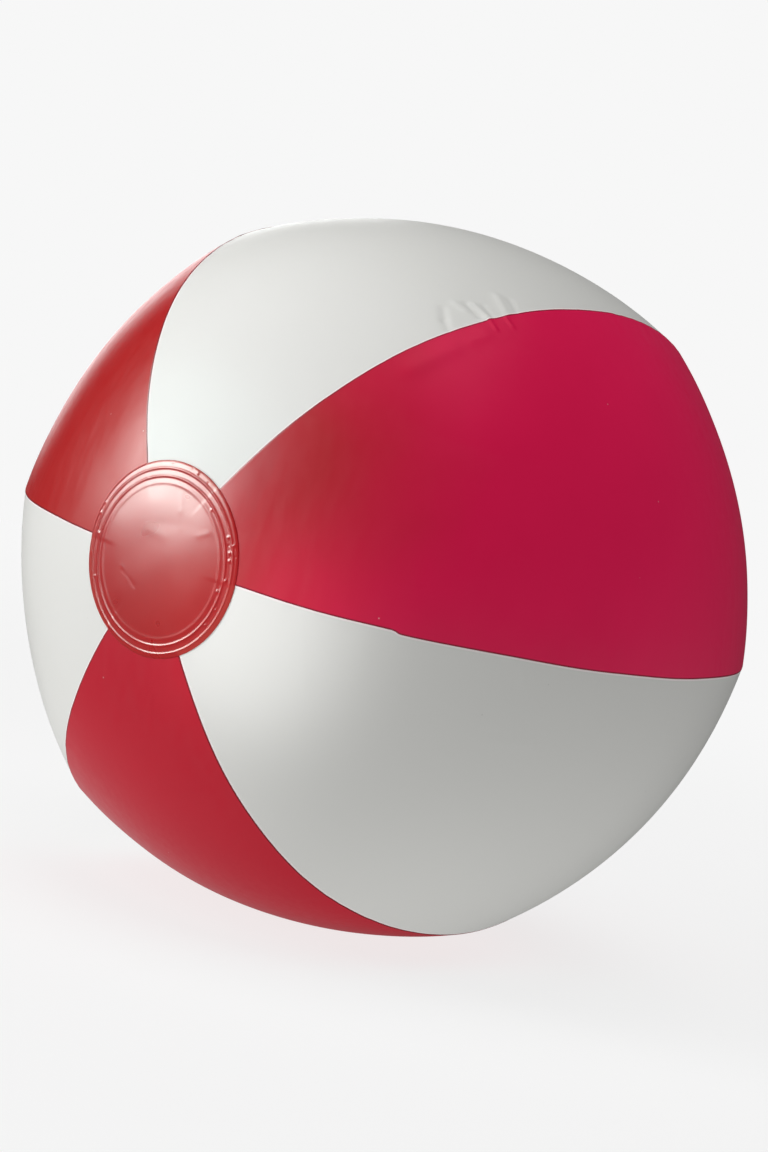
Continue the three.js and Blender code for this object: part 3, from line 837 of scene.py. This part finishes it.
PVC_IOR = 1.53
PAINTED_SHADING_START = (0, -125 * MM, 40 * MM)  # the place above the front disc from which the painted shading on the films drifts
GRAIN = 0.8 * MM  # the calender's grain is about 0.2 mm, and is drawn coarser so that it shows


def pvc_film(name, colours, painted_edge_colour, painted_edge_width, speck_colour, specular):
    """Calendered soft PVC film: painted shading, a colour that changes with the distance from a place
    above the front disc and is given there, in the middle and at the far side; a satin gloss that breaks
    up where it was handled, a fine grain, a few specks, and a painted line along the welded edge."""
    material, tree, place = new_material(name)
    # painted shading: on red film the colour brightens away from the front disc, a painted light that
    # lifts the shade of the far side, and on white film it darkens a little there, a painted shade. Clouds
    # half a hand wide move it to and fro
    from_start = add_node(tree, "VectorMath", {0: place, 1: PAINTED_SHADING_START}, operation="DISTANCE")
    cloud = add_node(tree, "TexNoise", {"Vector": place, "Scale": 1 / (45 * MM), "Detail": 2.0})
    clouded = add_node(
        tree, "Math", {0: cloud, 1: 40 * MM, 2: from_start.outputs["Value"]}, operation="MULTIPLY_ADD"
    )
    painted_shading = add_node(tree, "MapRange", {"Value": clouded, 1: 70 * MM, 2: 130 * MM})
    far_painted_shading = add_node(tree, "MapRange", {"Value": clouded, 1: 130 * MM, 2: 205 * MM})
    # handling marks: stretched patches where the gloss is duller
    stretched = add_node(
        tree, "Mapping", {"Vector": place, "Rotation": (0.4, 0.9, 0.3), "Scale": (1, 1, 0.16)}
    )
    scuff = add_node(
        tree, "TexNoise", {"Vector": stretched, "Scale": 1 / (3.5 * MM), "Detail": 3.0, "Roughness": 0.6}
    )
    # specks of dust about half a millimetre across, of which the film cuts one every 7 cm or so
    speck = add_node(tree, "TexVoronoi", {"Vector": place, "Scale": 1 / (14 * MM)})
    speck_mask = add_node(
        tree,
        "MapRange",
        {"Value": speck, 1: 0.012, 2: 0.03, 3: 0.35, 4: 0.0},
        interpolation_type="SMOOTHSTEP",
    )
    # a painted line along the welded edge: a painted highlight on white film and a painted shade on red
    # film
    edge = add_node(tree, "Attribute", attribute_name="edge")
    painted_edge_mask = add_node(
        tree,
        "MapRange",
        {"Value": edge.outputs["Fac"], 1: 0.55 * painted_edge_width, 2: painted_edge_width, 3: 0.85, 4: 0.0},
        interpolation_type="SMOOTHSTEP",
    )
    by_disc, middle, far_side = colours
    colour = linear(by_disc)
    layers = ((painted_shading, middle), (far_painted_shading, far_side), (speck_mask, speck_colour), (painted_edge_mask, painted_edge_colour))
    for mask, upper in layers:
        inputs = {0: mask, 6: colour, 7: linear(upper)}
        colour = add_node(tree, "Mix", inputs, data_type="RGBA").outputs[2]
    roughness = add_node(tree, "MapRange", {"Value": scuff, 1: 0.3, 2: 0.75, 3: 0.31, 4: 0.39})
    grain = add_node(tree, "TexNoise", {"Vector": place, "Scale": 1 / GRAIN, "Detail": 1.0})
    grain_bump = add_node(tree, "Bump", {"Height": grain, "Strength": 0.10, "Distance": 0.05 * MM})
    scuff_bump = add_node(
        tree, "Bump", {"Height": scuff, "Strength": 0.25, "Distance": 0.05 * MM, "Normal": grain_bump}
    )
    shader = add_node(
        tree,
        "BsdfPrincipled",
        {
            "Base Color": colour,
            "Roughness": roughness,
            "Normal": scuff_bump,
            "IOR": PVC_IOR,
            "Specular IOR Level": specular,
        },
    )
    add_node(tree, "OutputMaterial", {"Surface": shader})
    return material


def disc_film(name):
    """Thicker pressed PVC film of the end discs: glossier than the panels, and thin enough at the
    rim for the white panels to show through as a browner red."""
    material, tree, place = new_material(name)
    cloud = add_node(tree, "TexNoise", {"Vector": place, "Scale": 1 / (12 * MM), "Detail": 1.0})
    edge = add_node(tree, "Attribute", attribute_name="edge")
    white = add_node(tree, "Attribute", attribute_name="over_white")
    rim_mask = add_node(
        tree,
        "MapRange",
        {"Value": edge.outputs["Fac"], 1: 0.3 * MM, 2: 4 * MM, 3: 0.4, 4: 0.0},
        interpolation_type="SMOOTHSTEP",
    )
    through = add_node(tree, "Math", {0: rim_mask, 1: white.outputs["Fac"]}, operation="MULTIPLY")
    sheet = add_node(
        tree, "Mix", {0: cloud, 6: linear("#B0161A"), 7: linear("#B81A1E")}, data_type="RGBA"
    )
    colour = add_node(
        tree, "Mix", {0: through, 6: sheet.outputs[2], 7: linear("#C24A3C")}, data_type="RGBA"
    )
    roughness = add_node(tree, "MapRange", {"Value": cloud, 1: 0.1, 2: 0.9, 3: 0.26, 4: 0.31})
    grain = add_node(tree, "TexNoise", {"Vector": place, "Scale": 1 / GRAIN, "Detail": 1.0})
    bump = add_node(tree, "Bump", {"Height": grain, "Strength": 0.12, "Distance": 0.05 * MM})
    shader = add_node(
        tree,
        "BsdfPrincipled",
        {
            "Base Color": colour.outputs[2],
            "Roughness": roughness,
            "Normal": bump,
            "IOR": PVC_IOR,
            "Specular IOR Level": 0.78,
        },
    )
    add_node(tree, "OutputMaterial", {"Surface": shader})
    return material


def moulded_pvc(name):
    """Soft PVC of the valve, injection moulded: milky and translucent, with the smooth gloss of a
    polished mould that is duller where it flowed."""
    material, tree, place = new_material(name)
    flow = add_node(tree, "TexNoise", {"Vector": place, "Scale": 1 / (6 * MM), "Detail": 3.0})
    colour = add_node(
        tree, "Mix", {0: flow, 6: linear("#E2E7E6"), 7: linear("#DAE1E1")}, data_type="RGBA"
    )
    roughness = add_node(tree, "MapRange", {"Value": flow, 1: 0.3, 2: 0.7, 3: 0.2, 4: 0.34})
    bump = add_node(tree, "Bump", {"Height": flow, "Strength": 0.1, "Distance": 0.1 * MM})
    shader = add_node(
        tree,
        "BsdfPrincipled",
        {
            "Base Color": colour.outputs[2],
            "Roughness": roughness,
            "Normal": bump,
            "IOR": PVC_IOR,
            "Subsurface Weight": 0.6,
            "Subsurface Radius": (1.0, 1.0, 1.0),
            "Subsurface Scale": 3 * MM,
        },
    )
    add_node(tree, "OutputMaterial", {"Surface": shader})
    return material


# the white film's colours carry painted shading too: they darken a little away from the front disc
WHITE = ("#EAEAE7", "#E6E6E2", "#E4E4E0")
# Each red panel: the name of its hue, its colours by the front disc, in the middle and at the far side,
# which carry painted shading, and the colour of the painted shade along its welded edge. Each hue is its
# own roll's, and the crimson panel's brighter colours are partly a painted light on the right side, which
# the lamps leave in shade
RED_ROLLS_WITH_PAINTED_SHADING = {
    "upper_right_red_panel": ("crimson", ("#BC2430", "#E61850", "#FD205F"), "#860B2A"),
    "bottom_red_panel": ("scarlet", ("#C0122C", "#C6162E", "#D21A32"), "#861320"),
    "upper_left_red_panel": ("red", ("#B20E12", "#B40F13", "#B61218"), "#7E1220"),
}
# the pale line along the white film's welded edge is a painted highlight; its grey specks are dust
white_film = pvc_film("PVC_film_white", WHITE, "#FFF4F4", 0.9 * MM, "#B9B9B3", 0.1)
red_disc = disc_film("PVC_film_disc_red")
milky_pvc = moulded_pvc("PVC_moulded_milky")

for place, name in enumerate(PANELS):
    if name in RED_ROLLS_WITH_PAINTED_SHADING:
        shade, colours, painted_edge_colour = RED_ROLLS_WITH_PAINTED_SHADING[name]
        red_film = pvc_film("PVC_film_" + shade, colours, painted_edge_colour, 0.7 * MM, "#EFE4E0", 0.42)
        panel(place, red_film)
    else:
        panel(place, white_film)
end_disc("front_disc_film", "front_disc", True, red_disc)
end_disc("rear_disc_film", "rear_disc", False, red_disc)
flange("valve_flange_ring", milky_pvc)
skirt("valve_skirt_fold", milky_pvc)
stem("valve_stem_tube", milky_pvc)
strap("plug_strap_band", milky_pvc)
plug("valve_plug_stopper", milky_pvc)
check_flap("check_flap_disc", milky_pvc)

# Camera: the photograph's direction in the part's frame, and the tilt of its upright to the floor
VIEW_AZIMUTH = np.radians(38.2)
VIEW_ELEVATION = np.radians(7.57)
VIEW_ROLL = np.radians(13.83)
VIEW_DISTANCE = 1.899  # metres
FOCAL_LENGTH = 153.0  # millimetres
SENSOR_HEIGHT = 36.0


def view_axes():
    """The picture's right and upright and the direction to the camera: level axes for the azimuth
    and elevation, turned by the roll."""
    level = np.array([np.sin(VIEW_AZIMUTH), -np.cos(VIEW_AZIMUTH), 0])
    toward = level * np.cos(VIEW_ELEVATION) + np.array([0, 0, np.sin(VIEW_ELEVATION)])
    right = np.array([np.cos(VIEW_AZIMUTH), np.sin(VIEW_AZIMUTH), 0])
    up = np.cross(toward, right)
    cos_roll, sin_roll = np.cos(VIEW_ROLL), np.sin(VIEW_ROLL)
    return right * cos_roll + up * sin_roll, up * cos_roll - right * sin_roll, toward


right, up, toward = view_axes()


def in_picture(to_right, upwards, nearer):
    """Direction or place given by the picture's own axes: a sum of its right, its upright and the way to
    the camera."""
    return to_right * right + upwards * up + nearer * toward


camera_data = bpy.data.cameras.new("camera")
camera_data.sensor_fit = "VERTICAL"
camera_data.sensor_height = SENSOR_HEIGHT
camera_data.lens = FOCAL_LENGTH
camera = bpy.data.objects.new("camera", camera_data)
bpy.context.scene.collection.objects.link(camera)
facing = Matrix(np.stack([right, up, toward], 1).tolist()).to_4x4()
camera.matrix_world = Matrix.Translation(Vector(toward * VIEW_DISTANCE)) @ facing
bpy.context.scene.camera = camera

# Light and floor
PALE = 0.93  # the background's value, sRGB 247
REFLECTED = 0.035  # the same background in the film's gloss, which shows the darker side of the studio
AMBIENT = 0.02  # the light that it throws on the ball
GLOSS_TINT = (0.74, 0.96, 0.91)  # cool, so that highlights on red film stay pale and not pink
FLOOR_GREY = 0.85  # the paper's own colour
FLOOR_GLOW = 0.98  # glow of the floor by the ball, as the camera sees it
FLOOR_LIGHT = 0.80  # what the floor, a lit table, throws up at the ball
FLOOR_GLOSS = 0.48  # the lit patch of floor beside the ball, in the film's gloss
FLOOR_PATCH = (0.08, 0.19)  # metres from the patch's middle over which it falls off
FLOOR_SHADE = 0.2  # share of the floor's own light and shadow that shows beside its glow
FLOOR_FADE = (0.3, 0.9)  # metres from the ball over which the floor melts into the background


def seen_level(tree, plain, seen, reflected):
    """Node with a seen value for camera and transmission rays, a reflected one for glossy rays and a
    plain one for all others."""
    path = add_node(tree, "LightPath").outputs
    through = add_node(
        tree, "Math", {0: path["Is Camera Ray"], 1: path["Is Transmission Ray"]}, operation="MAXIMUM"
    )
    gloss = add_node(tree, "MapRange", {"Value": path["Is Glossy Ray"], 3: plain, 4: reflected})
    return add_node(tree, "MapRange", {"Value": through, 3: gloss, 4: seen})


def hang(data, target, direction, distance):
    """Hangs a lamp in a direction from its target, facing it."""
    lamp = bpy.data.objects.new(data.name, data)
    bpy.context.scene.collection.objects.link(lamp)
    heading = Vector(direction).normalized()
    lamp.location = Vector(target) + heading * distance
    lamp.rotation_euler = heading.to_track_quat("Z", "Y").to_euler()
    lamp.visible_camera = False
    return lamp


def softbox(name, direction, distance, size, level, gloss_only=False, tint=(1, 1, 1)):
    """A square lamp facing the ball. Level is what it adds to a white surface that faces it: the
    power is that level times pi squared times the distance squared. It either lights the ball and
    stays out of its gloss, or shows in the gloss alone."""
    data = bpy.data.lights.new(name, "AREA")
    data.size = size
    data.energy = level * np.pi ** 2 * distance ** 2
    data.color = tint
    lamp = hang(data, (0, 0, 0), direction, distance)
    lamp.visible_diffuse = not gloss_only
    lamp.visible_glossy = gloss_only


def spot(name, target, direction, distance, reach, level):
    """A soft round lamp for one place, with no gloss. Its light falls to nothing at the reach from the
    target. The power is its level times four times pi squared times the distance squared."""
    data = bpy.data.lights.new(name, "SPOT")
    data.spot_size = 2 * np.arctan(reach / distance)
    data.spot_blend = 1.0
    data.shadow_soft_size = 0.02
    data.energy = level * 4 * np.pi ** 2 * distance ** 2
    hang(data, target, direction, distance).visible_glossy = False


world = bpy.data.worlds.new("studio")
world.use_nodes = True
world.node_tree.nodes.clear()
background = add_node(
    world.node_tree,
    "Background",
    {"Color": (1, 1, 1, 1), "Strength": seen_level(world.node_tree, AMBIENT, PALE, REFLECTED)},
)
add_node(world.node_tree, "OutputWorld", {"Surface": background})
bpy.context.scene.world = world

# Each softbox: its direction in the picture, its distance and width in metres, and its level
softbox("key_left", in_picture(-0.94, 0.31, 0.13), 1.5, 0.40, 0.33)
softbox("top_left", in_picture(-0.60, 0.65, 0.45), 1.8, 1.0, 0.29)
softbox("fill_top", in_picture(0.20, 0.95, 0.25), 1.8, 1.4, 0.585)
softbox("fill_back", in_picture(0.10, 0.25, -0.96), 2.0, 1.6, 0.30)
beside_disc = in_picture(-0.050, -0.018, 0.12)
spot("spot_disc", beside_disc, in_picture(-0.4, -0.16, 0.9), 0.8, 0.055, 0.285)
softbox("gloss_left", in_picture(-0.87, 0.45, 0.18), 1.5, 0.9, 1.25, gloss_only=True, tint=GLOSS_TINT)
softbox("gloss_core", in_picture(-0.90, 0.37, 0.21), 1.4, 0.35, 0.14, gloss_only=True, tint=GLOSS_TINT)
softbox("gloss_rim", in_picture(-0.21, 0.23, -0.95), 2.2, 0.9, 0.15, gloss_only=True)

floor_material, tree, on_floor = new_material("floor_paper")
away = add_node(tree, "VectorMath", {0: on_floor}, operation="LENGTH")
fade = add_node(
    tree,
    "MapRange",
    {"Value": away.outputs["Value"], 1: FLOOR_FADE[0], 2: FLOOR_FADE[1]},
    interpolation_type="SMOOTHSTEP",
)
# in the film's gloss the floor is bright only beside the ball, behind it on the left
patch_middle = in_picture(-0.09, 0, -0.09)
from_patch = add_node(
    tree,
    "VectorMath",
    {0: on_floor, 1: (patch_middle[0], patch_middle[1], FLOOR_Z)},
    operation="DISTANCE",
)
patch = add_node(
    tree,
    "MapRange",
    {
        "Value": from_patch.outputs["Value"],
        1: FLOOR_PATCH[0],
        2: FLOOR_PATCH[1],
        3: FLOOR_GLOSS,
        4: REFLECTED,
    },
)
paper = add_node(tree, "BsdfDiffuse", {"Color": (FLOOR_GREY, FLOOR_GREY, FLOOR_GREY, 1)})
glow = add_node(tree, "Emission", {"Strength": seen_level(tree, FLOOR_LIGHT, FLOOR_GLOW, patch)})
haze = add_node(tree, "Emission", {"Strength": seen_level(tree, FLOOR_LIGHT, PALE, patch)})
near = add_node(tree, "MixShader", {0: seen_level(tree, 1.0, 1 - FLOOR_SHADE, 1.0), 1: paper, 2: glow})
mixed = add_node(tree, "MixShader", {0: fade, 1: near, 2: haze})
add_node(tree, "OutputMaterial", {"Surface": mixed})

FLOOR_REACH = 12.0  # metres to each side, past the camera's view
corners = np.array([[-1, -1, 0], [1, -1, 0], [1, 1, 0], [-1, 1, 0]]) * FLOOR_REACH
floor = add_piece("floor", corners + [0, 0, FLOOR_Z], np.array([[0, 1, 2, 3]]))
floor.data.materials.append(floor_material)

bpy.context.scene.view_settings.view_transform = "Standard"
